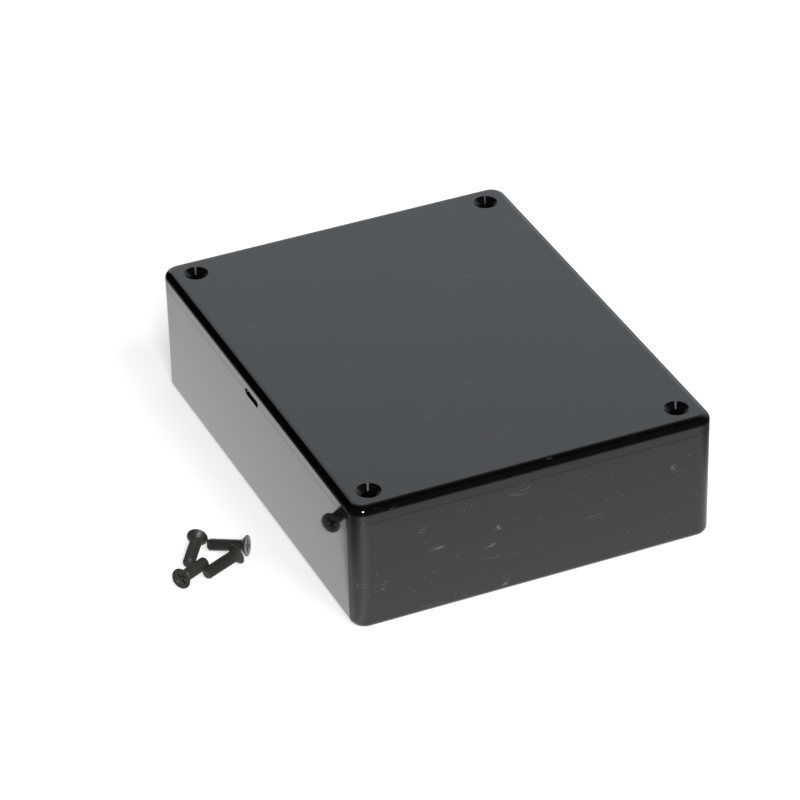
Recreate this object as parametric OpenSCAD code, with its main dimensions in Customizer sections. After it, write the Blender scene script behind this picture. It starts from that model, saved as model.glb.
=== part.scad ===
// Moulded project box: an open base, a lid on a lap joint, four threaded inserts and the four lid screws.
// Millimetres. The origin is the middle of the base's underside; X runs across the box, Y along it, Z up.
// The lid is on, and its four screws lie on the bench at the left of the box.

/* [Box] */
// Width over the outside at the lid, along X
box_w = 94; // [80:1:140]
// Length over the outside at the lid, along Y
box_l = 121; // [100:1:180]
// Height over all, with the lid on
box_h = 34; // [28:1:60]
// Radius of the upright outside corners at the lid
corner_r = 4; // [3.6:0.1:6]
// Thickness of the side walls at the seam
wall_t = 2; // [1.8:0.1:2.6]
// Thickness of the floor
floor_t = 2; // [1.6:0.1:3]
// Radius round the base's bottom edge
foot_r = 1.6; // [0.8:0.1:2]
// Draft of the base's walls, in degrees
draft_deg = 0.25; // [0.2:0.05:1.5]
// Radius of the cavity's upright corners at the floor
cavity_r = 1.6; // [1.2:0.1:2.4]
// Radius between the cavity's floor and its walls
floor_r = 0.8; // [0.4:0.1:1.2]

/* [Lid] */
// Height of the lid's edge, from the seam to the top
lid_h = 4.3; // [4:0.1:6]
// Thickness of the lid's plate
lid_t = 2.5; // [2:0.1:3]
// Radius round the lid's top edge
lid_edge_r = 2.1; // [1:0.1:2.4]
// Chamfer that both shells have at the seam
seam_chamfer = 0.05; // [0.05:0.05:0.3]
// Thickness of the base's rim, outside the lid's tongue
rim_t = 1.05; // [0.9:0.05:1.2]
// Height of the lid's tongue below the seam
tongue_h = 1.5; // [1:0.1:2]
// Gap between the tongue and the rim, and under the tongue
lap_gap = 0.15; // [0.1:0.01:0.25]
// Length of the pry slot in the seam
pry_l = 8; // [6:0.1:14]
// Height of the pry slot
pry_h = 1.9; // [1.4:0.1:3]
// Depth of the pry slot
pry_d = 0.5; // [0.3:0.05:0.7]
// How far the pry slot lies behind the middle of the left side
pry_shift = 0.8; // [-5:0.1:5]

/* [Corner bosses and inserts] */
// Distance of each screw's axis from the two outside faces beside it
hole_inset = 7; // [6.7:0.1:9]
// Diameter of the corner bosses
boss_d = 7.8; // [7:0.1:8]
// Thickness of the webs that tie a boss to the walls
web_t = 2; // [1.2:0.1:3]
// Diameter of a threaded insert over its knurl
insert_d = 4.6; // [4.2:0.1:5]
// Length of a threaded insert
insert_l = 5.6; // [4.5:0.1:7]
// Tapping diameter inside a threaded insert
insert_bore_d = 2.5; // [2.4:0.05:2.7]
// Height of an insert's plain collar, and of the groove between its knurled bands
insert_collar = 0.8; // [0.5:0.1:1.1]
// Number of knurl grooves round an insert
knurl_n = 24; // [16:1:28]
// Depth of the knurl grooves
knurl_d = 0.22; // [0.1:0.02:0.3]
// Chamfer at the mouth of an insert's thread
insert_chamfer = 0.3; // [0.1:0.05:0.5]
// Room for the screw's tip below an insert
tip_room = 4.4; // [3:0.1:8]

/* [Lid screws] */
// Length of a lid screw, head included
screw_l = 10; // [8:1:14]
// Thread diameter of a lid screw
screw_d = 3; // [2.8:0.1:3.2]
// Head diameter of a lid screw
head_d = 5.2; // [5:0.1:6]
// Height of the edge of a lid screw's head
head_edge = 0.25; // [0.15:0.05:0.4]
// Chamfer at a lid screw's tip
tip_chamfer = 0.4; // [0.2:0.1:0.6]
// Width over the cross recess at the head's face
recess_w = 2.9; // [2.6:0.1:3.4]
// Width over the cross recess at its bottom
recess_low_w = 1.3; // [1:0.1:1.8]
// Width of each wing of the cross recess
recess_wing = 0.8; // [0.6:0.05:1]
// Depth of the cross recess
recess_d = 1.4; // [1.1:0.1:1.8]
// Diameter of the countersinks at the lid's face
csk_d = 6.2; // [6:0.1:6.6]
// Diameter of the clearance holes through the lid
clear_d = 3.4; // [3.3:0.1:3.8]

/* [Board mounting] */
// How far inside the screws' axes the board pillars stand, along X
pillar_in_x = 7; // [5:0.5:20]
// How far inside the screws' axes the board pillars stand, along Y
pillar_in_y = 7.5; // [6:0.5:20]
// Diameter of the board pillars
pillar_d = 6; // [5:0.1:7]
// Height of the board pillars above the floor
pillar_h = 5; // [3:0.1:8]
// Diameter of the pilot holes in the board pillars
pilot_d = 2.3; // [2:0.1:2.8]
// Pitch of the card guides along the walls
guide_pitch = 12.7; // [10:0.1:20]
// Slot between the two ribs of a card guide
guide_slot = 1.9; // [1.7:0.1:2.6]
// Thickness of each card guide rib
rib_t = 1.2; // [0.9:0.1:1.6]
// Reach of the card guide ribs at the floor
rib_reach = 1.4; // [1:0.1:2]
// How far the card guides stop below the lap joint
guide_drop = 1; // [0.5:0.1:4]

/* [Hidden] */
$fn = 64;

// Heights and places that follow from the sizes above
seam_z = box_h - lid_h;
lap_z = seam_z - tongue_h - lap_gap;
guide_top = lap_z - guide_drop;
lean = tan(draft_deg);
boss_x = box_w / 2 - hole_inset;
boss_y = box_l / 2 - hole_inset;
pillar_x = boss_x - pillar_in_x;
pillar_y = boss_y - pillar_in_y;

// How far a cut runs past a face, and how far what stands on the floor reaches into it
cut = 1;
// Least gap between the last card guide of a row and the boss at its end
guide_end_gap = 2;
// How much wider than the screw the hole below an insert is
tip_gap = 0.3;

// The four screws as they were put down. Each has the middle of its head's face, measured in screw
// lengths from the middle of the heap, the heading from its tip to its head, and its recess's turn.
HEAP = [[0.025, 0.79, 55, 20], [-0.98, -0.65, 213, 50], [0.62, -0.275, 18, 35], [0.975, -0.07, 321.3, 55]];
// The heap spreads out when this many head diameters are more than a screw's length
heap_heads = 1.92;
heap_unit = max(screw_l, heap_heads * head_d);
// Middle of the heap: distance from the box's left side, and distance from its front
heap_out = 20.5;
heap_in = 41.1;

// Carries a section round a rectangle whose half sizes are cx and cy. The section is drawn from the
// rectangle's edge outwards, so each corner is a quarter turn of it and each side is its extrusion.
module carry_round(cx, cy) {
    for (turn = [0, 180]) {
        rotate([0, 0, turn]) translate([cx, 0, 0]) rotate([90, 0, 0])
            linear_extrude(2 * cy, center = true) children();
        rotate([0, 0, turn + 90]) translate([cy, 0, 0]) rotate([90, 0, 0])
            linear_extrude(2 * cx, center = true) children();
    }
    for (q = [[1, 1, 0], [-1, 1, 90], [-1, -1, 180], [1, -1, 270]])
        translate([q[0] * cx, q[1] * cy, 0]) rotate([0, 0, q[2]]) rotate_extrude(angle = 90)
            intersection() {
                children();
                square([box_w, box_h]);
            }
}

// A block w by l at its top, with upright corners of radius r there, walls that lean in towards the
// bottom, a bottom edge of radius low_r and a chamfer round the top
module leaning_block(w, l, r, h, low_r, chamfer) {
    slope = sqrt(1 + lean * lean);
    foot = r - lean * (h - low_r) - low_r * slope;
    touch = [foot + low_r / slope, low_r - low_r * lean / slope];
    cx = w / 2 - r;
    cy = l / 2 - r;
    translate([-cx, -cy, 0]) cube([2 * cx, 2 * cy, h]);
    carry_round(cx, cy) {
        polygon([[0, 0], [foot, 0], touch, [r - lean * chamfer, h - chamfer], [r - chamfer, h], [0, h]]);
        translate([foot, low_r]) circle(low_r);
    }
}

// A block w by l with upright walls and corners of radius r
module upright_block(w, l, r, h) {
    cx = w / 2 - r;
    cy = l / 2 - r;
    translate([-cx, -cy, 0]) cube([2 * cx, 2 * cy, h]);
    carry_round(cx, cy) square([r, h]);
}

// An upright block set in from the box's outside by a distance
module inset_block(inset, h) {
    upright_block(box_w - 2 * inset, box_l - 2 * inset, corner_r - inset, h);
}

// What the pry slot takes out of both shells, on the left side
module pry_cut() {
    translate([-box_w / 2 - cut, pry_shift, seam_z]) rotate([90, 0, 90]) linear_extrude(cut + pry_d) {
        square([pry_l - pry_h, pry_h], center = true);
        for (s = [-1, 1]) translate([s * (pry_l - pry_h) / 2, 0]) circle(pry_h / 2);
    }
}

module at_bosses() {
    for (x = [-1, 1], y = [-1, 1]) translate([x * boss_x, y * boss_y, 0]) children();
}

module at_pillars() {
    for (x = [-1, 1], y = [-1, 1]) translate([x * pillar_x, y * pillar_y, floor_t]) children();
}

// ---- base ----

// The open shell, with the step round its rim that the lid's tongue enters
module base_shell() {
    cavity_h = seam_z - floor_t;
    difference() {
        leaning_block(box_w, box_l, corner_r, seam_z, foot_r, seam_chamfer);
        translate([0, 0, floor_t])
            leaning_block(box_w - 2 * wall_t, box_l - 2 * wall_t, cavity_r + lean * cavity_h,
                          cavity_h, floor_r, 0);
        translate([0, 0, lap_z]) inset_block(rim_t, seam_z - lap_z + cut);
    }
}

// The bosses reach up to the seam, and the webs beside them stop below the lid's tongue
module corner_bosses() {
    reach = hole_inset - wall_t;
    for (x = [-1, 1], y = [-1, 1]) translate([x * boss_x, y * boss_y, floor_t - cut]) {
        cylinder(d = boss_d, h = seam_z - floor_t + cut);
        translate([x > 0 ? 0 : -reach, -web_t / 2, 0]) cube([reach, web_t, lap_z - floor_t + cut]);
        translate([-web_t / 2, y > 0 ? 0 : -reach, 0]) cube([web_t, reach, lap_z - floor_t + cut]);
    }
}

module boss_bores() {
    at_bosses() {
        translate([0, 0, seam_z - insert_l]) cylinder(d = insert_d, h = insert_l + cut);
        translate([0, 0, seam_z - insert_l - tip_room])
            cylinder(d = screw_d + tip_gap, h = insert_l + tip_room);
    }
}

// One rib of a card guide, on the wall whose outside is half away along +X. Its inner edge is upright.
module guide_rib(half) {
    low = floor_t - cut;
    wall_low = half - wall_t / 2 - lean * (seam_z - low);
    wall_top = half - wall_t / 2 - lean * (seam_z - guide_top);
    edge = half - wall_t - lean * (seam_z - floor_t) - rib_reach;
    rotate([90, 0, 0]) linear_extrude(rib_t, center = true)
        polygon([[edge, low], [wall_low, low], [wall_top, guide_top], [edge + rib_reach, guide_top],
                 [edge, guide_top - rib_reach]]);
}

// The pairs of ribs along one wall, between the bosses whose axes are boss away from its middle
module guide_row(half, boss) {
    room = boss - boss_d / 2 - guide_end_gap - guide_slot / 2 - rib_t;
    n = floor(room / guide_pitch);
    for (i = [-n:n], s = [-1, 1])
        translate([0, i * guide_pitch + s * (guide_slot + rib_t) / 2, 0]) guide_rib(half);
}

module card_guides() {
    for (turn = [0, 180]) {
        rotate([0, 0, turn]) guide_row(box_w / 2, boss_y);
        rotate([0, 0, turn + 90]) guide_row(box_l / 2, boss_x);
    }
}

module base() {
    color([0.07, 0.07, 0.075]) difference() {
        union() {
            base_shell();
            corner_bosses();
            card_guides();
            at_pillars() translate([0, 0, -cut]) cylinder(d = pillar_d, h = pillar_h + cut);
        }
        boss_bores();
        at_pillars() cylinder(d = pilot_d, h = pillar_h + cut);
        pry_cut();
    }
}

// ---- lid ----

// The lid's outside: upright edges, a rounded top edge and a chamfer at the seam
module lid_block() {
    cx = box_w / 2 - corner_r;
    cy = box_l / 2 - corner_r;
    crown = corner_r - lid_edge_r;
    translate([-cx, -cy, 0]) cube([2 * cx, 2 * cy, lid_h]);
    carry_round(cx, cy) {
        polygon([[0, 0], [corner_r - seam_chamfer, 0], [corner_r, seam_chamfer],
                 [corner_r, lid_h - lid_edge_r], [crown, lid_h], [0, lid_h]]);
        translate([crown, lid_h - lid_edge_r]) circle(lid_edge_r);
    }
}

// The thin wall that hangs below the seam, inside the base's rim
module tongue() {
    difference() {
        translate([0, 0, -tongue_h]) inset_block(rim_t + lap_gap, tongue_h + lid_h - lid_t);
        translate([0, 0, -tongue_h - cut]) inset_block(wall_t, tongue_h + lid_h + cut);
    }
}

module lid() {
    color([0.07, 0.07, 0.075]) difference() {
        translate([0, 0, seam_z]) {
            difference() {
                lid_block();
                translate([0, 0, -cut]) inset_block(wall_t, lid_h - lid_t + cut);
            }
            tongue();
            at_bosses() cylinder(d = boss_d, h = lid_h - lid_t);
        }
        at_bosses() translate([0, 0, seam_z]) {
            csk_h = (csk_d - clear_d) / 2;
            translate([0, 0, -cut]) cylinder(d = clear_d, h = lid_h + 2 * cut);
            translate([0, 0, lid_h - csk_h]) cylinder(d1 = clear_d, d2 = csk_d, h = csk_h);
        }
        pry_cut();
    }
}

// ---- threaded insert ----

// A ring of straight knurling
module knurl_band(h) {
    linear_extrude(h) difference() {
        circle(d = insert_d);
        for (i = [0:knurl_n - 1]) rotate(i * 360 / knurl_n)
            polygon([[insert_d / 2 - knurl_d, 0], [insert_d / 2 + knurl_d, -2 * knurl_d],
                     [insert_d / 2 + knurl_d, 2 * knurl_d]]);
    }
}

// An insert set flush with the top of the boss in the corner on side x and side y
module insert(x, y) {
    band_h = (insert_l - 2 * insert_collar) / 2;
    color([0.72, 0.58, 0.28]) translate([x * boss_x, y * boss_y, seam_z - insert_l]) difference() {
        union() {
            cylinder(d = insert_d - 4 * knurl_d, h = insert_l);
            knurl_band(band_h);
            translate([0, 0, band_h + insert_collar]) knurl_band(band_h);
            translate([0, 0, insert_l - insert_collar]) cylinder(d = insert_d, h = insert_collar);
        }
        translate([0, 0, -cut]) cylinder(d = insert_bore_d, h = insert_l + 2 * cut);
        translate([0, 0, insert_l - insert_chamfer])
            cylinder(d1 = insert_bore_d, d2 = insert_bore_d + 2 * insert_chamfer, h = insert_chamfer);
    }
}

// ---- lid screw ----

// The two crossed wings of the recess, narrowing towards the bottom
module cross_recess() {
    for (turn = [0, 90]) rotate([90, 0, turn]) linear_extrude(recess_wing, center = true)
        polygon([[-recess_w / 2, cut], [-recess_w / 2, 0], [-recess_low_w / 2, -recess_d],
                 [recess_low_w / 2, -recess_d], [recess_w / 2, 0], [recess_w / 2, cut]]);
}

// A countersunk screw with its head's face at Z 0 and its tip down
module screw() {
    neck_z = -head_edge - (head_d - screw_d) / 2;
    difference() {
        rotate_extrude()
            polygon([[0, 0], [head_d / 2, 0], [head_d / 2, -head_edge], [screw_d / 2, neck_z],
                     [screw_d / 2, tip_chamfer - screw_l], [screw_d / 2 - tip_chamfer, -screw_l],
                     [0, -screw_l]]);
        cross_recess();
    }
}

// A screw of the heap. It lies on the edge of its head and the end of its thread.
module lying_screw(i) {
    rise = atan((head_d - screw_d) / 2 / (screw_l - tip_chamfer - head_edge));
    place = [-box_w / 2 - heap_out + heap_unit * HEAP[i][0], -box_l / 2 + heap_in + heap_unit * HEAP[i][1],
             head_d / 2 * cos(rise) + head_edge * sin(rise)];
    color([0.15, 0.14, 0.13]) translate(place) rotate([0, 0, HEAP[i][2]]) rotate([0, 90 - rise, 0])
        rotate([0, 0, HEAP[i][3]]) screw();
}

base();
lid();
insert(-1, -1);  // insert_front_left
insert(1, -1);  // insert_front_right
insert(-1, 1);  // insert_back_left
insert(1, 1);  // insert_back_right
lying_screw(0);  // screw_1
lying_screw(1);  // screw_2
lying_screw(2);  // screw_3
lying_screw(3);  // screw_4
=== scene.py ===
# %% [markdown]
# # A moulded project box, dressed in Blender
# The box is two black ABS mouldings, a base and a lid. Four brass inserts sit in the base's corner
# bosses, and four small black screws, which hold the lid down, lie beside it. The imported CAD model
# gives every piece at its real size. This file adds what the eye needs: the gloss of the plastic, cut
# threads on the screws and inserts, and a plain white studio.
#
# The frame comes first. Its box is kept, so that what is made later can be measured against it. Its
# box is kept, because nothing made later may reach outside it.

import math

import bmesh
import bpy
import numpy as np
from mathutils import Matrix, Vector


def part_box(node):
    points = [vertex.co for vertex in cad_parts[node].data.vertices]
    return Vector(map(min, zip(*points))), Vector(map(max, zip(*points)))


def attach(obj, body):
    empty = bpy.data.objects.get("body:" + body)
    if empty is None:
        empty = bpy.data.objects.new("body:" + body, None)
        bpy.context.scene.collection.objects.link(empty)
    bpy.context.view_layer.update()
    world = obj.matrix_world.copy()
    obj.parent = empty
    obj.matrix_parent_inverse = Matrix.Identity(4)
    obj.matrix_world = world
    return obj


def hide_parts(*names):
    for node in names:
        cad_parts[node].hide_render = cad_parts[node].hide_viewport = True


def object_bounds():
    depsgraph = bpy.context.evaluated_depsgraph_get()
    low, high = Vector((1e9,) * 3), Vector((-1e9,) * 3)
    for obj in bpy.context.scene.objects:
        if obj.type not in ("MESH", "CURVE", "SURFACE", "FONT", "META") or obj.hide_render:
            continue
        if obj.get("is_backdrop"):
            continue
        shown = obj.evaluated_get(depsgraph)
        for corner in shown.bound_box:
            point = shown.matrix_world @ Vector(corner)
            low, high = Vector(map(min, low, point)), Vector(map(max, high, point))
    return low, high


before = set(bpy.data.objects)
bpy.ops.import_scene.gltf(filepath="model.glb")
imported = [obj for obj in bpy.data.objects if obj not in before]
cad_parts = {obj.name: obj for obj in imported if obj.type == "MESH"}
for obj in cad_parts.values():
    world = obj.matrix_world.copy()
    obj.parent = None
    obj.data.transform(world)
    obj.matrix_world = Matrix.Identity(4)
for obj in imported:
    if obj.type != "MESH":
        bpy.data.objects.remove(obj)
cad_low, cad_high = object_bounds()
MM = 0.001

print("nodes:", ", ".join(sorted(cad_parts)))
print("CAD box, mm:", [round((high - low) / MM, 2) for low, high in zip(cad_low, cad_high)])

# %% [markdown]
# ## Camera
# A small product is usually shot with a long lens from about a metre, so that its upright edges stay
# nearly parallel. The camera could be turned by hand until it looks right. Here it is worked out from
# where it stands round the box, so that it still points at the box if the box changes.

# %% Camera
CAMERA_AZIMUTH = math.radians(-23.45)
CAMERA_ELEVATION = math.radians(33.14)
CAMERA_ROLL = math.radians(-1.256)
CAMERA_DISTANCE = 1.0768
LENS_MM = 196.76
SENSOR_MM = 36
# How far the aim lies from the middle of the box, to the right and up in the picture
AIM_RIGHT = -7.616 * MM
AIM_UP = -0.689 * MM
CLIP_NEAR = 0.05
CLIP_FAR = 50


def direction(azimuth, elevation):
    """Unit vector towards an azimuth, from -Y round towards +X, and an elevation above the floor."""
    flat = math.cos(elevation)
    return np.array([math.sin(azimuth) * flat, -math.cos(azimuth) * flat, math.sin(elevation)])


def looking(back, roll=0.0):
    """Right, up and backward axes of what looks along -back: level first, then rolled about that line."""
    right = np.cross([0, 0, 1], back)
    right /= np.linalg.norm(right)
    up = np.cross(back, right)
    cos, sin = math.cos(roll), math.sin(roll)
    return np.array([right * cos + up * sin, up * cos - right * sin, back])


def stand(thing, place, axes):
    """Puts a camera or lamp at a place, with its own X, Y and Z along the three axes."""
    matrix = np.eye(4)
    matrix[:3, :3] = axes.T
    matrix[:3, 3] = place
    thing.matrix_world = Matrix(matrix.tolist())
    bpy.context.scene.collection.objects.link(thing)
    return thing


base_low, base_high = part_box("base")
_, lid_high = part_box("lid")
box_middle = np.array([0, 0, (base_low.z + lid_high.z) / 2])
axes = looking(direction(CAMERA_AZIMUTH, CAMERA_ELEVATION), CAMERA_ROLL)
camera = bpy.data.objects.new("camera", bpy.data.cameras.new("camera"))
camera.data.lens = LENS_MM
camera.data.sensor_width = SENSOR_MM
camera.data.clip_start = CLIP_NEAR
camera.data.clip_end = CLIP_FAR
stand(camera, box_middle + np.array([AIM_RIGHT, AIM_UP, CAMERA_DISTANCE]) @ axes, axes)
bpy.context.scene.camera = camera
bpy.context.scene.view_settings.view_transform = "Standard"
print("camera at, m:", [round(v, 3) for v in camera.matrix_world.translation])

# %% [markdown]
# ## One helper for nodes
# Every finish below is a small network of shader nodes. One helper adds a node, sets its properties and
# fills its sockets, either with a value or with a link from another node. Colours are written as sRGB
# hex values, as a paint chart gives them, and one function turns them to the linear values that shaders
# use. Some sockets have no name of their own and are given by number: a Mix node takes two values in
# sockets 2 and 3 and two colours in 6 and 7, and a Math node takes its values in 0, 1 and 2.

# %% Node helper and colours
def linear(hex_colour):
    """Linear RGBA of an sRGB hex colour: its low part is divided, the rest follows a power of 2.4."""
    srgb = np.array([int(hex_colour[i:i + 2], 16) for i in (1, 3, 5)]) / 255
    rgb = np.where(srgb <= 0.04045, srgb / 12.92, ((srgb + 0.055) / 1.055) ** 2.4)
    return (*rgb.tolist(), 1.0)


def node(tree, kind, inputs=None, stops=None, **settings):
    """Adds a node. inputs maps its sockets to values or to other nodes' outputs; stops are a ramp's."""
    new = tree.nodes.new(kind)
    for name, value in settings.items():
        setattr(new, name, value)
    for name, value in (inputs or {}).items():
        if isinstance(value, bpy.types.NodeSocket):
            tree.links.new(value, new.inputs[name])
        else:
            new.inputs[name].default_value = value
    for index, (position, value) in enumerate(stops or []):
        elements = new.color_ramp.elements
        element = elements[index] if index < len(elements) else elements.new(position)
        element.position = position
        element.color = (value, value, value, 1) if isinstance(value, (int, float)) else value
    return new


def new_material(name):
    """A material with only its output node, and its node tree."""
    material = bpy.data.materials.new(name)
    material.use_nodes = True
    material.node_tree.nodes.clear()
    return material, material.node_tree


print("mid grey #808080 is", round(linear("#808080")[0], 3), "in linear light")

# %% [markdown]
# ## Studio
# Gloss black plastic has almost no colour of its own. What is seen on it is the room: the white sweep
# behind it shows in the top face, the table's painted sheet of light in its walls, and the dark of the
# room above the table in the rounded edges. A ready-made room could be wrapped round the scene instead,
# but drawn walls can be changed one at a time. The world is a plain grey for soft light. For reflections
# it is a ring of walls that is white only behind the box, from its back right to straight behind it. The
# rest of the ring and the ceiling are dark.

# %% World
AMBIENT = 0.25
# The walls are a little cooler than the lamps
WALL_TINT = (0.925, 0.99, 1.04, 1)
# Share of the whole turn, from -X round through -Y, +X and +Y, and how bright the ring is there
RING = [(0.0, 0.04), (0.48, 0.04), (0.60, 1.0), (0.76, 1.0), (0.785, 0.0), (0.90, 0.0), (1.0, 0.04)]
# Sine of the elevation, and how bright the ring is there
RISE = [(0.0, 1.0), (0.52, 1.0), (0.57, 0.95), (0.70, 0.6), (0.80, 0.2), (0.88, 0.07), (1.0, 0.07)]

world = bpy.data.worlds.new("studio")
world.use_nodes = True
# Rays find the walls by themselves: sampled as a lamp, they would show the ambient grey in the gloss
world.cycles.sampling_method = "NONE"
bpy.context.scene.world = world
tree = world.node_tree
tree.nodes.clear()
toward = node(tree, "ShaderNodeTexCoord").outputs["Generated"]
xyz = node(tree, "ShaderNodeSeparateXYZ", {0: toward})
turn = node(tree, "ShaderNodeMath", {0: xyz.outputs["Y"], 1: xyz.outputs["X"]}, operation="ARCTAN2")
share = node(tree, "ShaderNodeMath", {0: turn.outputs[0], 1: 1 / math.tau, 2: 0.5},
             operation="MULTIPLY_ADD")
ring = node(tree, "ShaderNodeValToRGB", {"Fac": share.outputs[0]}, stops=RING)
rise = node(tree, "ShaderNodeValToRGB", {"Fac": xyz.outputs["Z"]}, stops=RISE)
walls = node(tree, "ShaderNodeMath", {0: ring.outputs["Color"], 1: rise.outputs["Color"]},
             operation="MULTIPLY")
path = node(tree, "ShaderNodeLightPath")
in_gloss = node(tree, "ShaderNodeMix", {0: path.outputs["Is Glossy Ray"], 2: AMBIENT, 3: walls.outputs[0]})
in_view = node(tree, "ShaderNodeMix", {0: path.outputs["Is Camera Ray"], 2: in_gloss.outputs[0], 3: 1.0})
tint = node(tree, "ShaderNodeMix", {0: path.outputs["Is Glossy Ray"], 6: (1, 1, 1, 1), 7: WALL_TINT},
            data_type="RGBA")
sky = node(tree, "ShaderNodeBackground", {"Color": tint.outputs[2], "Strength": in_view.outputs[0]})
node(tree, "ShaderNodeOutputWorld", {"Surface": sky.outputs[0]})
print("world: ambient", AMBIENT, "with", len(RING), "stops round the walls")

# %% [markdown]
# The key light is a small softbox near the camera. It is the only lamp that shows in the gloss, as one
# bright point on the rounded corner. Its light comes from almost where the camera stands, so the
# shadows fall behind the things that cast them.

# %% Key light
KEY_AZIMUTH = math.radians(-17.2)
KEY_ELEVATION = math.radians(35.3)
KEY_DISTANCE = 1.5
KEY_SIZE = 0.36
KEY_WATTS = 9.5

key = bpy.data.objects.new("key", bpy.data.lights.new("key", "AREA"))
key.data.shape = "DISK"
key.data.size = KEY_SIZE
key.data.energy = KEY_WATTS
key_back = direction(KEY_AZIMUTH, KEY_ELEVATION)
stand(key, box_middle + key_back * KEY_DISTANCE, looking(key_back))
print("key light spans", round(math.degrees(KEY_SIZE / KEY_DISTANCE), 1), "degrees")

# %% [markdown]
# A large soft lamp, higher than the camera and well to its right, lights the table and the screws. It is
# hidden from reflections, where its edges would show as hard lines.

# %% Fill light
FILL_AZIMUTH = math.radians(25)
FILL_ELEVATION = math.radians(45)
FILL_DISTANCE = 1.3
FILL_SIZE = 0.8
FILL_WATTS = 10.5

fill = bpy.data.objects.new("fill", bpy.data.lights.new("fill", "AREA"))
fill.data.shape = "SQUARE"
fill.data.size = FILL_SIZE
fill.data.energy = FILL_WATTS
fill.visible_glossy = False
fill_back = direction(FILL_AZIMUTH, FILL_ELEVATION)
stand(fill, box_middle + fill_back * FILL_DISTANCE, looking(fill_back))
print("fill light spans", round(math.degrees(FILL_SIZE / FILL_DISTANCE), 1), "degrees")

# %% [markdown]
# The table is a white sheet that takes the shadows. For the camera it also glows a little, so that it
# looks as white as in a bright studio while no more light falls on the box. Gloss black walls are a
# mirror for it, so in reflections it is a painted sheet of light: an emission, not the lamps' light on
# the card, sets the light and the dark that the walls reflect. Its brightness changes with the direction
# from the box's front left corner, brightest towards the front and the back, and it fades with the
# distance from the box: painted light that stands in for a sheet lit from above the box.

# %% Table
TABLE_HALF = 6.0
TABLE_DROP = 0.02 * MM
GLOW_IN_VIEW = 0.5
# The sheet's pattern turns about the point where the left wall runs into the front corner's radius
CORNER_R = 4.0 * MM
# Share of the turn about it, from +Y through -X, -Y and +X, and how bright the painted light of the sheet
# is there
PAINTED_SHEET_ROUND = [(0.0, 1.4), (0.054, 1.4), (0.064, 0.46), (0.08, 0.5), (0.12, 0.62), (0.18, 0.93),
               (0.28, 0.97), (0.37, 1.1), (0.41, 1.23), (0.45, 1.48), (0.50, 1.48), (0.53, 1.3),
               (0.56, 1.1), (0.75, 1.08), (1.0, 1.4)]
# The painted sheet of light is a little less red than the lamps
PAINTED_SHEET_TINT = (0.975, 1.0, 0.99, 1)
# Share of the sheet's reach beyond the box, and how much of its painted brightness is left there
PAINTED_SHEET_FADE = [(0.0, 1.08), (0.15, 0.93), (0.2, 0.7), (0.25, 0.5), (0.35, 0.22), (0.583, 0.08),
              (1.0, 0.03)]
# The painted sheet of light fades faster at the sides of the box than at its ends
SIDE_HASTE = 1.9
PAINTED_SHEET_REACH = 240 * MM

corners = [(x * TABLE_HALF, y * TABLE_HALF, -TABLE_DROP) for x, y in ((-1, -1), (1, -1), (1, 1), (-1, 1))]
table_mesh = bpy.data.meshes.new("table")
table_mesh.from_pydata(corners, [], [(0, 1, 2, 3)])
table = bpy.data.objects.new("table", table_mesh)
bpy.context.scene.collection.objects.link(table)
table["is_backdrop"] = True

material, tree = new_material("white_card_table")
# As with the walls: sampled as a lamp, it would show its look for the camera in the gloss
material.cycles.emission_sampling = "NONE"
place = node(tree, "ShaderNodeTexCoord").outputs["Object"]
offset = node(tree, "ShaderNodeVectorMath", {0: place, 1: (base_low.x, base_low.y + CORNER_R, 0)},
              operation="SUBTRACT")
offset = node(tree, "ShaderNodeVectorMath", {0: offset.outputs[0], 1: (1, -1, 1)}, operation="MULTIPLY")
offset = node(tree, "ShaderNodeSeparateXYZ", {0: offset.outputs[0]})
turn = node(tree, "ShaderNodeMath", {0: offset.outputs["X"], 1: offset.outputs["Y"]}, operation="ARCTAN2")
share = node(tree, "ShaderNodeMath", {0: turn.outputs[0], 1: 1 / math.tau, 2: 0.5},
             operation="MULTIPLY_ADD")
# Painted light for reflections: the sheet's brightness by its direction from the corner
painted_sheet = node(tree, "ShaderNodeValToRGB", {"Fac": share.outputs[0]}, stops=PAINTED_SHEET_ROUND)

# Distance from the box's outline: the larger of what lies beyond its sides
beyond = node(tree, "ShaderNodeVectorMath", {0: place}, operation="ABSOLUTE")
beyond = node(tree, "ShaderNodeVectorMath", {0: beyond.outputs[0], 1: (base_high.x, base_high.y, 0)},
              operation="SUBTRACT")
beyond = node(tree, "ShaderNodeVectorMath", {0: beyond.outputs[0], 1: (SIDE_HASTE, 1, 1)},
              operation="MULTIPLY")
beyond = node(tree, "ShaderNodeSeparateXYZ", {0: beyond.outputs[0]})
beyond = node(tree, "ShaderNodeMath", {0: beyond.outputs["X"], 1: beyond.outputs["Y"]}, operation="MAXIMUM")
beyond = node(tree, "ShaderNodeMath", {0: beyond.outputs[0], 1: PAINTED_SHEET_REACH}, operation="DIVIDE")
# The painted sheet of light fades with that distance
fade = node(tree, "ShaderNodeValToRGB", {"Fac": beyond.outputs[0]}, stops=PAINTED_SHEET_FADE)
painted_sheet = node(tree, "ShaderNodeMath", {0: painted_sheet.outputs["Color"], 1: fade.outputs["Color"]},
             operation="MULTIPLY")

path = node(tree, "ShaderNodeLightPath")
glow = node(tree, "ShaderNodeMath", {0: path.outputs["Is Camera Ray"], 1: GLOW_IN_VIEW},
            operation="MULTIPLY")
card = node(tree, "ShaderNodeBsdfDiffuse", {"Color": linear("#f4f4f4")})
light = node(tree, "ShaderNodeEmission", {"Strength": glow.outputs[0]})
in_view = node(tree, "ShaderNodeAddShader", {0: card.outputs[0], 1: light.outputs[0]})
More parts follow.
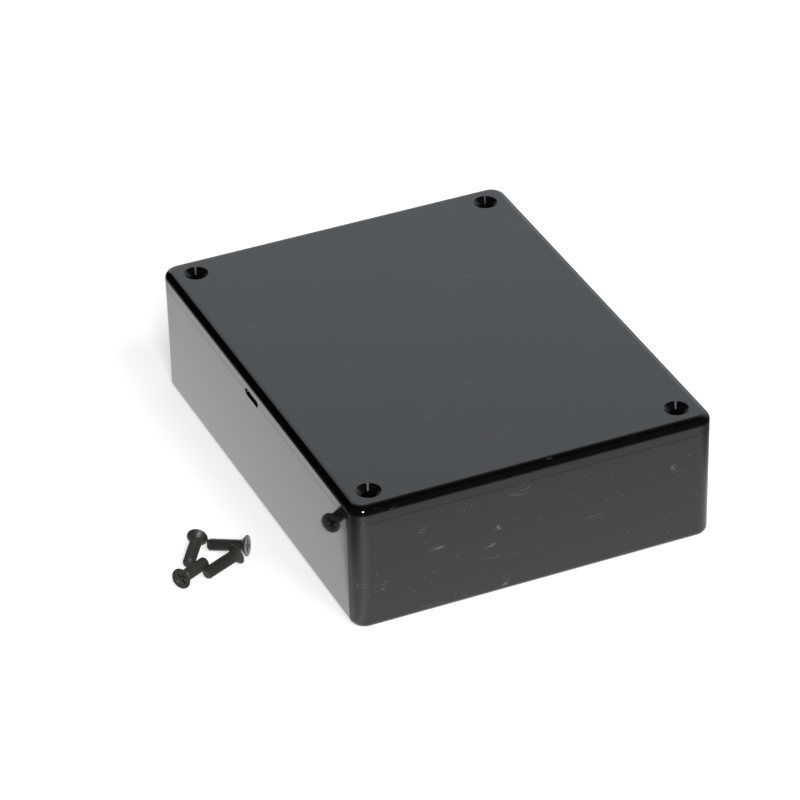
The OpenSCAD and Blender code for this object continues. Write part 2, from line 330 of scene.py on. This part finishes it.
# In reflections the table is painted light: an emission with the sheet's brightness, in place of the lamps'
# light on the card
in_gloss = node(tree, "ShaderNodeEmission", {"Color": PAINTED_SHEET_TINT, "Strength": painted_sheet.outputs[0]})
surface = node(tree, "ShaderNodeMixShader", {0: path.outputs["Is Glossy Ray"], 1: in_view.outputs[0],
               2: in_gloss.outputs[0]})
node(tree, "ShaderNodeOutputMaterial", {"Surface": surface.outputs[0]})
table_mesh.materials.append(material)
print("table glows", GLOW_IN_VIEW, "for the camera and up to", PAINTED_SHEET_ROUND[0][1], "in reflections")

# %% [markdown]
# ## Turned pieces with cut threads
# The screws and the inserts are turned parts, so each is a grid of rings round an axis: every row has a
# radius and a height, which may also change along the row, as in a knurl, a cross recess or a thread.
# A screw modifier or a Boolean cutter could cut the thread. A grid is cleaner, because its rows can
# follow the helix: four rows a turn, at the two edges of the crest and of the root, give the thread's
# true section. Such rows climb one pitch in a turn, so where a turn closes, each row meets the one four
# further on.

# %% Grid of rings
THREAD_PITCH = 0.5
# Edges of the crest and of the root of a metric thread, as shares of the pitch, and the depth there
THREAD_AT = np.array([0, 1 / 8, 7 / 16, 11 / 16])
THREAD_CUT = np.array([0.0, 0.0, 1.0, 1.0])
THREAD_DEPTH = 0.307
# Turns of rows beyond the thread's length, so that the helix is whole at both ends
SPARE_TURNS = 3
# Points nearer than this are one, and edges that turn less than this are smooth
MERGE_MM = 1e-4
SMOOTH_BELOW = math.radians(28)


def ring_patch(radius, height, angle, gain=0):
    """Points and faces of rings: x = r cos a, y = r sin a, z = height, row by row. Neighbours in the grid
    share a face, and at the end of a turn a row joins the row that lies gain further on. Rows that go
    outwards, down and back inwards make a shape whose faces point outwards."""
    radius, height, angle = np.broadcast_arrays(radius, height, angle)
    rows, columns = radius.shape
    points = np.stack([radius * np.cos(angle), radius * np.sin(angle), height], -1).reshape(-1, 3)
    row, column = np.indices((rows - 1, columns))
    next_column = (column + 1) % columns
    next_row = row + gain * (next_column == 0)
    inside = (next_row >= 0) & (next_row < rows - 1)
    here = row * columns + column
    there = next_row * columns + next_column
    faces = np.stack([here, here + columns, there + columns, there], -1)[inside]
    return points, faces


def thread_rows(length, angle, side):
    """Distances along a thread and how deep it is cut there. A row's distance is its place in the pitch
    plus the pitch times its turns, less or more the angle's share of a turn, kept within the length.
    side is -1 for rows that go down the axis and 1 for rows that go up, which makes both right-handed."""
    turns = math.ceil(length / THREAD_PITCH) + SPARE_TURNS
    rows = (np.arange(turns)[:, None] - 1 + THREAD_AT).reshape(-1, 1)
    along = np.clip((rows + side * angle / math.tau) * THREAD_PITCH, 0, length)
    return along, np.tile(THREAD_CUT, turns)[:, None]


def make_piece(name, patches, turning, place, body):
    """One mesh of several patches in mm, turned, moved, merged where they meet, and given to a body."""
    points, faces, count = [], [], 0
    for patch_points, patch_faces in patches:
        points.append(patch_points)
        faces.append(patch_faces + count)
        count += len(patch_points)
    points = (np.concatenate(points) @ turning.T + place) * MM
    mesh = bpy.data.meshes.new(name)
    mesh.from_pydata(points, [], np.concatenate(faces))
    shape = bmesh.new()
    shape.from_mesh(mesh)
    bmesh.ops.remove_doubles(shape, verts=shape.verts, dist=MERGE_MM * MM)
    bmesh.ops.dissolve_degenerate(shape, edges=shape.edges, dist=MERGE_MM * MM)
    open_edges = sum(not edge.is_manifold for edge in shape.edges)
    shape.to_mesh(mesh)
    shape.free()
    mesh.shade_smooth()
    mesh.set_sharp_from_angle(angle=SMOOTH_BELOW)
    piece = bpy.data.objects.new(name, mesh)
    bpy.context.scene.collection.objects.link(piece)
    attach(piece, body)
    triangles = sum(len(face.vertices) - 2 for face in mesh.polygons)
    print(f"{name}: {triangles} triangles, {open_edges} open edges, volume check "
          f"{signed_volume(mesh) / MM ** 3:.1f} mm3")
    return piece


def signed_volume(mesh):
    """Volume inside a closed mesh, a sixth of the sum of a . (b x c) over its triangles: positive if its
    faces point outwards."""
    mesh.calc_loop_triangles()
    corners = np.empty(len(mesh.loop_triangles) * 3, np.int32)
    mesh.loop_triangles.foreach_get("vertices", corners)
    points = np.empty(len(mesh.vertices) * 3)
    mesh.vertices.foreach_get("co", points)
    a, b, c = points.reshape(-1, 3)[corners.reshape(-1, 3)].transpose(1, 0, 2)
    return (a * np.cross(b, c)).sum() / 6


def box_centre(points):
    """Middle of the box round some points."""
    return (points.min(0) + points.max(0)) / 2


def node_centre(name):
    """Middle of a CAD node's box, in mm."""
    low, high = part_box(name)
    return (np.array(low) + np.array(high)) / 2 / MM


def turned(degrees, axis):
    """Rotation matrix about one axis."""
    return np.array(Matrix.Rotation(math.radians(degrees), 3, axis))


print("thread: pitch", THREAD_PITCH, "mm, depth", THREAD_DEPTH, "mm")

# %% [markdown]
# ## Lid screws
# They are M3 by 10 mm countersunk machine screws with a cross recess, rolled and then blackened. The
# recess could be a Boolean of two wedges. Here the rows inside the head are not round but follow the
# outline of a cross, which has one radius for each angle, so recess, face, cone, thread and tip are one
# closed skin.

# %% Screw shape
SCREW_LENGTH = 10.0
SCREW_D = 3.0
HEAD_D = 5.2
HEAD_EDGE = 0.25
TIP_CHAMFER = 0.4
RECESS_WIDTH = 2.9
RECESS_LOW_WIDTH = 1.3
RECESS_WING = 0.8
RECESS_DEPTH = 1.4
RECESS_BEVEL = 0.05
# How much deeper the floor's middle is, and how much the wings narrow towards the floor
RECESS_POINT = 0.12
RECESS_TAPER = 0.15
# Rows up the recess's walls, and the share of its depth that the bevel at its mouth takes
RECESS_ROWS = 6
BEVEL_SHARE = 0.03
RUNOUT = 0.6
# The tip's flat rim and how far its middle is dished
TIP_RIM = 0.12
TIP_DISH = 0.1
SCREW_COLUMNS = 64


def cross_radius(angle, width, wing):
    """Radius of a plus sign at an angle: the larger of two bars' radii, each the nearer of the bar's end
    and its side."""
    cos, sin = np.abs(np.cos(angle)) + 1e-9, np.abs(np.sin(angle)) + 1e-9
    one_bar = np.minimum(width / 2 / cos, wing / 2 / sin)
    other_bar = np.minimum(wing / 2 / cos, width / 2 / sin)
    return np.maximum(one_bar, other_bar)


def screw_patches():
    """Patches of a screw with its head's face at z 0 and its tip down."""
    angle = np.arange(SCREW_COLUMNS) * math.tau / SCREW_COLUMNS
    corner = math.atan2(RECESS_WING, RECESS_WIDTH)
    for quarter in range(4):
        for wanted in (corner, math.pi / 2 - corner):
            wanted += quarter * math.pi / 2
            angle[np.abs(angle - wanted).argmin()] = wanted

    # The recess, from the middle of its floor up its walls to the face
    depth = np.linspace(1, 0, RECESS_ROWS)[:, None]
    width = RECESS_WIDTH + (RECESS_LOW_WIDTH - RECESS_WIDTH) * depth
    walls = cross_radius(angle, width, RECESS_WING * (1 - RECESS_TAPER * depth))
    mouth = cross_radius(angle, RECESS_WIDTH + 2 * RECESS_BEVEL, RECESS_WING + 2 * RECESS_BEVEL)
    neck = -HEAD_EDGE - (HEAD_D - SCREW_D) / 2
    down = depth[:, 0] * (1 - BEVEL_SHARE) + BEVEL_SHARE
    head = [(0 * angle, -RECESS_DEPTH - RECESS_POINT)]
    head += [(wall, -RECESS_DEPTH * share_down) for wall, share_down in zip(walls, down)]
    head += [(mouth, 0.0)]
    # Radius and height of the face, its rounded rim, the edge, the cone and the small radius under it
    head += [(r + 0 * angle, z) for r, z in (
        (0.36 * HEAD_D, 0.0), (HEAD_D / 2 - 0.14, 0.0), (HEAD_D / 2 - 0.05, -0.02),
        (HEAD_D / 2 - 0.01, -0.06), (HEAD_D / 2, -0.1), (HEAD_D / 2, -HEAD_EDGE + 0.03),
        (HEAD_D / 2 - 0.03, -HEAD_EDGE - 0.02),
        (SCREW_D / 2 + 0.12, neck + 0.12), (SCREW_D / 2 + 0.03, neck + 0.05), (SCREW_D / 2, neck))]
    radius = np.stack([row for row, height in head])
    height = np.array([height for row, height in head])[:, None]

    # The thread starts shallow below the cone and ends in the chamfer
    length = SCREW_LENGTH + neck
    along, cut = thread_rows(length, angle, side=-1)
    runout = np.clip(along / RUNOUT, 0, 1) ** 0.5
    thread = SCREW_D / 2 - THREAD_DEPTH * cut * runout
    tip = SCREW_D / 2 - TIP_CHAMFER
    thread = np.minimum(thread, tip + (length - along))

    end_radius = np.array([tip, tip - TIP_RIM, 0])[:, None] + 0 * angle
    end_height = np.array([0, 0, TIP_DISH])[:, None] - SCREW_LENGTH
    return [ring_patch(radius, height, angle),
            ring_patch(thread, neck - along, angle, gain=-len(THREAD_AT)),
            ring_patch(end_radius, end_height, angle)]


print("screw:", SCREW_LENGTH, "mm long, head", HEAD_D, "mm across")

# %% [markdown]
# The four screws lie in a heap at the left of the box, as they were put down before the lid is closed.
# A physics run could drop them there. Here each has its heading and the turn of its recess, and its CAD
# node gives the place, so the heap stays where the CAD model has it. Each threaded screw takes the place
# of its plain CAD node and rides with the base.

# %% Screws
# Heading from a screw's tip to its head, and how far its recess is turned, in degrees
SCREWS_LIE = {"screw_1": (55, 20), "screw_2": (213, 50), "screw_3": (18, 35), "screw_4": (321.3, 55)}
# A lying screw touches the table with its head's edge and its tip, so its head end is tilted up
screw_rise = math.degrees(math.atan((HEAD_D - SCREW_D) / 2 / (SCREW_LENGTH - TIP_CHAMFER - HEAD_EDGE)))

screws = []
patches = screw_patches()
outline = np.concatenate([points for points, faces in patches])
for name, (heading, recess_turn) in SCREWS_LIE.items():
    turning = turned(heading, "Z") @ turned(90 - screw_rise, "Y") @ turned(recess_turn, "Z")
    place = node_centre(name) - box_centre(outline @ turning.T)
    screw = make_piece("threaded_" + name, patches, turning, place, "base")
    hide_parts(name)
    screws.append(screw)

# %% [markdown]
# ## Brass inserts
# A knurled insert is pressed into a warm hole, and its grooves fill with plastic. With the lid on they
# can't be seen. With the lid off, the flat collar and the thread inside show. A texture could fake the
# knurl, but the exported mesh is kept too, so the grooves are in the rows: every fourth column is
# drawn in.

# %% Insert shape
INSERT_BORE = 2.5
INSERT_CHAMFER = 0.3
INSERT_COLLAR = 0.8
KNURLS = 24
KNURL_DEPTH = 0.22
# The grooves between the knurled bands are a little deeper than the knurls, with a small step beside them
WAIST_DEPTH = 1.6 * KNURL_DEPTH
BAND_STEP = 0.02
INSERT_EDGE = 0.08
# An inner thread is cut less deep than an outer one
INNER_THREAD = 0.8
INSERT_COLUMNS = 4 * KNURLS


def insert_patches(diameter, length):
    """Patches of an insert with its top face at z 0, going out over the collar, down and up the bore."""
    angle = np.arange(INSERT_COLUMNS) * math.tau / INSERT_COLUMNS
    groove = (np.arange(INSERT_COLUMNS) % 4 == 2) * KNURL_DEPTH
    outer = diameter / 2
    waist = outer - WAIST_DEPTH
    mouth = INSERT_BORE / 2 + INSERT_CHAMFER
    band = (length - 2 * INSERT_COLLAR) / 2
    edge, step = INSERT_EDGE, BAND_STEP
    # Each row is a radius, a height and 1 where the knurl cuts it
    rows = [(mouth, 0, 0), (outer - edge, 0, 0), (outer, -edge, 0), (outer, -INSERT_COLLAR, 0)]
    for top in (INSERT_COLLAR, 2 * INSERT_COLLAR + band):
        rows += [(waist, -top, 0), (waist, -top - step, 0), (outer - edge, -top - step, 1),
                 (outer, -top - edge, 1), (outer, -top - band + edge, 1),
                 (outer - edge, -top - band + step, 1), (waist, -top - band + step, 0)]
    rows[-1] = (mouth, -length, 0)
    plain, height, knurled = np.array(rows).T[:, :, None]
    radius = plain - knurled * groove

    along, cut = thread_rows(length, angle, side=1)
    thread = INSERT_BORE / 2 + THREAD_DEPTH * INNER_THREAD * cut
    thread = np.maximum(thread, mouth - np.minimum(along, length - along))
    return [ring_patch(radius, height, angle),
            ring_patch(thread, along - length, angle, gain=len(THREAD_AT))]


print("insert:", KNURLS, "knurls,", KNURL_DEPTH, "mm deep")

# %% [markdown]
# The four inserts are bought-in parts, pressed flush into the corner bosses. They could be four copies of
# one mesh. Here each takes its diameter, length and place from its own CAD node, so it follows the box
# if the box changes, and each can be exported and checked by itself.

# %% Inserts
inserts = []
for name in sorted(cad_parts):
    if not name.startswith("insert_"):
        continue
    low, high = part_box(name)
    size = (high - low) / MM
    patches = insert_patches(size.x, size.z)
    place = node_centre(name) + np.array([0, 0, size.z / 2])
    insert = make_piece("threaded_" + name, patches, np.eye(3), place, "base")
    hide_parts(name)
    inserts.append(insert)

# %% [markdown]
# ## Gloss black ABS
# The mouldings come from a polished tool, so they are almost mirrors, with an index near 1.57. Three
# things keep them from looking like glass: the skin waves a little where the plastic shrank, the gloss
# is dulled in places by handling, and there are specks of dust and hair scratches. The countersinks were
# shaped by turned pins in the tool, and their fine rings draw the lamp's light out into a streak. A plain
# roughness would be simpler, but there it would show only a dot. All of it is drawn in object
# coordinates, in real millimetres, so it stays put on the piece from any side.

# %% ABS material
ABS_BLACK = "#060607"
ABS_INDEX = 1.57
# Widths of the waves and marks in the skin, and how high the waves are
WAVE_WIDTH, WAVE_HEIGHT = 20 * MM, 0.010 * MM
POLISH_WIDTH, POLISH_HEIGHT = 1.5 * MM, 0.0003 * MM
SMUDGE_WIDTH = 12 * MM
SPECK_SPACING = 2.6 * MM
SCRATCH_SPACING = 7 * MM
# Roughness of the skin where it is clean and where it is handled, of marks, and of turned faces
CLEAN_ROUGH, HANDLED_ROUGH = 0.05, 0.10
MARK_ROUGH = 0.6
TURNED_ROUGH = 0.24
# Faces whose normal is nearer to upright than this are polished and not turned
UPRIGHT = 0.9
# Two mouldings' patterns lie this far apart, which is more than the box is long
SEED_SHIFT = 0.13
# Where the screws' axes stand, on every side of the middle, and how far round them the tool was turned
SCREW_AXIS = (*(np.abs(node_centre("insert_front_left"))[:2] * MM).tolist(), 0)
TURNED_REACH = 3.2 * MM


def moulded_abs(name, seed, dusty, wear):
    """Injection-moulded gloss ABS: near-black, mirror-smooth skin with shrink waves, smudges and dust.
    dusty and wear are how strongly the specks and the scratches show."""
    material, tree = new_material(name)
    place = node(tree, "ShaderNodeTexCoord").outputs["Object"]
    shift = (seed * SEED_SHIFT, 0, 0)
    at = node(tree, "ShaderNodeMapping", {"Vector": place, "Location": shift}).outputs[0]

    # Shrink waves, and on them the finer waves of the tool's polish
    waves = node(tree, "ShaderNodeTexNoise", {"Vector": at, "Scale": 1 / WAVE_WIDTH, "Detail": 1.0})
    polish = node(tree, "ShaderNodeTexNoise", {"Vector": at, "Scale": 1 / POLISH_WIDTH, "Detail": 1.0})
    skin = node(tree, "ShaderNodeBump", {"Height": waves.outputs["Fac"], "Distance": WAVE_HEIGHT})
    skin = node(tree, "ShaderNodeBump", {"Height": polish.outputs["Fac"], "Distance": POLISH_HEIGHT,
                "Normal": skin.outputs[0]})

    # Handling marks dull the gloss in patches
    smudge = node(tree, "ShaderNodeTexNoise", {"Vector": at, "Scale": 1 / SMUDGE_WIDTH, "Detail": 4.0,
                  "Distortion": 0.8})
    rough = node(tree, "ShaderNodeMapRange", {"Value": smudge.outputs["Fac"], "From Min": 0.4,
                 "From Max": 0.75, "To Min": CLEAN_ROUGH, "To Max": HANDLED_ROUGH})

    # Dust: the cores of cells, each speck up to a tenth of its cell across
    cells = node(tree, "ShaderNodeTexVoronoi", {"Vector": at, "Scale": 1 / SPECK_SPACING})
    dust = node(tree, "ShaderNodeMapRange", {"Value": cells.outputs["Distance"], "From Min": 0.03,
                "From Max": 0.05, "To Min": dusty, "To Max": 0.0})

    # Hair scratches: where a stretched noise crosses its middle value, broken up by another noise
    stretched = node(tree, "ShaderNodeMapping", {"Vector": at, "Rotation": (0.5, 0.3, 0.9),
                     "Scale": (25.0, 260.0, 260.0)})
    lines = node(tree, "ShaderNodeTexNoise", {"Vector": stretched.outputs[0], "Scale": 1.0, "Detail": 2.0})
    off = node(tree, "ShaderNodeMath", {0: lines.outputs["Fac"], 1: 0.5}, operation="SUBTRACT")
    off = node(tree, "ShaderNodeMath", {0: off.outputs[0]}, operation="ABSOLUTE")
    hair = node(tree, "ShaderNodeMapRange", {"Value": off.outputs[0], "From Min": 0.002, "From Max": 0.006,
                "To Min": 1.0, "To Max": 0.0})
    broken = node(tree, "ShaderNodeTexNoise", {"Vector": at, "Scale": 1 / SCRATCH_SPACING, "Detail": 3.0})
    broken = node(tree, "ShaderNodeMapRange", {"Value": broken.outputs["Fac"], "From Min": 0.6,
                  "From Max": 0.66, "To Min": 0.0, "To Max": wear})
    hair = node(tree, "ShaderNodeMath", {0: hair.outputs[0], 1: broken.outputs[0]}, operation="MULTIPLY")

    marks = node(tree, "ShaderNodeMath", {0: dust.outputs[0], 1: hair.outputs[0]}, operation="MAXIMUM")
    colour = node(tree, "ShaderNodeMix", {0: marks.outputs[0], 6: linear(ABS_BLACK), 7: linear("#8e8d88")},
                  data_type="RGBA")
    rough = node(tree, "ShaderNodeMix", {0: marks.outputs[0], 2: rough.outputs[0], 3: MARK_ROUGH})

    # The countersinks and bores round the screws' axes keep fine rings from the turned pins of the tool
    corner = node(tree, "ShaderNodeVectorMath", {0: place}, operation="SIGN")
    corner = node(tree, "ShaderNodeVectorMath", {0: corner.outputs[0], 1: SCREW_AXIS}, operation="MULTIPLY")
    spoke = node(tree, "ShaderNodeVectorMath", {0: place, 1: corner.outputs[0]}, operation="SUBTRACT")
    spoke = node(tree, "ShaderNodeVectorMath", {0: spoke.outputs[0], 1: (1, 1, 0)}, operation="MULTIPLY")
    reach = node(tree, "ShaderNodeVectorMath", {0: spoke.outputs[0]}, operation="LENGTH")
    up = node(tree, "ShaderNodeNewGeometry").outputs["True Normal"]
    flat = node(tree, "ShaderNodeSeparateXYZ", {0: up}).outputs["Z"]
    steep = node(tree, "ShaderNodeMath", {0: flat, 1: UPRIGHT}, operation="LESS_THAN")
    turned_here = node(tree, "ShaderNodeMath", {0: reach.outputs["Value"], 1: TURNED_REACH},
                       operation="LESS_THAN")
    turned_here = node(tree, "ShaderNodeMath", {0: turned_here.outputs[0], 1: steep.outputs[0]},
                       operation="MULTIPLY")
    rough = node(tree, "ShaderNodeMix", {0: turned_here.outputs[0], 2: rough.outputs[0], 3: TURNED_ROUGH})

    skin_shader = node(tree, "ShaderNodeBsdfPrincipled", {"Base Color": colour.outputs[2],
                       "Roughness": rough.outputs[0], "IOR": ABS_INDEX, "Normal": skin.outputs[0],
                       "Anisotropic": turned_here.outputs[0], "Tangent": spoke.outputs[0]})
    node(tree, "ShaderNodeOutputMaterial", {"Surface": skin_shader.outputs[0]})
    return material


def dress(piece, material):
    """Makes a material the only one on a piece."""
    piece.data.materials.clear()
    piece.data.materials.append(material)


dress(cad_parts["base"], moulded_abs("moulded_abs_base", seed=0, dusty=0.8, wear=0.35))
dress(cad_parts["lid"], moulded_abs("moulded_abs_lid", seed=1, dusty=0.15, wear=0.1))
print("ABS reflects", round(((ABS_INDEX - 1) / (ABS_INDEX + 1)) ** 2 * 100, 1), "% seen straight on")

# %% [markdown]
# ## Blackened steel and brass
# The screws are blackened in a hot bath and oiled. The film is a warm dark grey with a soft pale gleam,
# and on the crests and edges a little grey steel comes through. A dark metallic shader could stand for
# it, but its gleam would be as dark as its colour. The inserts are bright turned brass with fine rings
# from the tool.

# %% Metals
def blackened_steel():
    """Black-oxide steel, oiled: a dark film with a soft gleam, worn to grey on its edges."""
    material, tree = new_material("black_oxide_steel")
    at = node(tree, "ShaderNodeTexCoord").outputs["Object"]
    blotch = node(tree, "ShaderNodeTexNoise", {"Vector": at, "Scale": 1 / (0.8 * MM), "Detail": 4.0})
    film = node(tree, "ShaderNodeMix", {0: blotch.outputs["Fac"], 6: linear("#2a2823"),
                7: linear("#3a3731")}, data_type="RGBA")
    edges = node(tree, "ShaderNodeNewGeometry").outputs["Pointiness"]
    worn = node(tree, "ShaderNodeMapRange", {"Value": edges, "From Min": 0.53, "From Max": 0.62,
                "To Min": 0.0, "To Max": 0.5})
    colour = node(tree, "ShaderNodeMix", {0: worn.outputs[0], 6: film.outputs[2], 7: linear("#6e6b66")},
                  data_type="RGBA")
    rough = node(tree, "ShaderNodeMapRange", {"Value": blotch.outputs["Fac"], "To Min": 0.35,
                 "To Max": 0.5})
    grain = node(tree, "ShaderNodeBump", {"Height": blotch.outputs["Fac"], "Distance": 0.004 * MM})
    steel = node(tree, "ShaderNodeBsdfPrincipled", {"Base Color": colour.outputs[2], "IOR": 1.7,
                 "Roughness": rough.outputs[0], "Normal": grain.outputs[0]})
    node(tree, "ShaderNodeOutputMaterial", {"Surface": steel.outputs[0]})
    return material


def turned_brass():
    """Free-cutting brass, turned: a bright warm metal with tool rings along its axis."""
    material, tree = new_material("turned_brass")
    at = node(tree, "ShaderNodeTexCoord").outputs["Object"]
    rings = node(tree, "ShaderNodeTexWave", {"Vector": at, "Scale": 1 / (0.5 * MM), "Distortion": 1.5},
                 bands_direction="Z")
    tarnish = node(tree, "ShaderNodeTexNoise", {"Vector": at, "Scale": 1 / (1.2 * MM), "Detail": 3.0})
    colour = node(tree, "ShaderNodeMix", {0: tarnish.outputs["Fac"], 6: linear("#d9b566"),
                  7: linear("#b08a44")}, data_type="RGBA")
    rough = node(tree, "ShaderNodeMapRange", {"Value": tarnish.outputs["Fac"], "To Min": 0.18,
                 "To Max": 0.36})
    grooves = node(tree, "ShaderNodeBump", {"Height": rings.outputs["Fac"], "Distance": 0.001 * MM})
    brass = node(tree, "ShaderNodeBsdfPrincipled", {"Base Color": colour.outputs[2], "Metallic": 1.0,
                 "Roughness": rough.outputs[0], "Normal": grooves.outputs[0]})
    node(tree, "ShaderNodeOutputMaterial", {"Surface": brass.outputs[0]})
    return material


steel = blackened_steel()
brass = turned_brass()
for piece in screws:
    dress(piece, steel)
for piece in inserts:
    dress(piece, brass)
print("materials:", ", ".join(m.name for m in bpy.data.materials))

# %% [markdown]
# ## Sizes
# The dressed part has to be the CAD part's size, so how far it reaches beyond the CAD box on each axis
# is printed.

# %% Sizes
low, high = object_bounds()
grown = [max(a - b, c - d) / MM for a, b, c, d in zip(cad_low, low, high, cad_high)]
print("grown by, mm:", [round(size, 3) for size in grown])
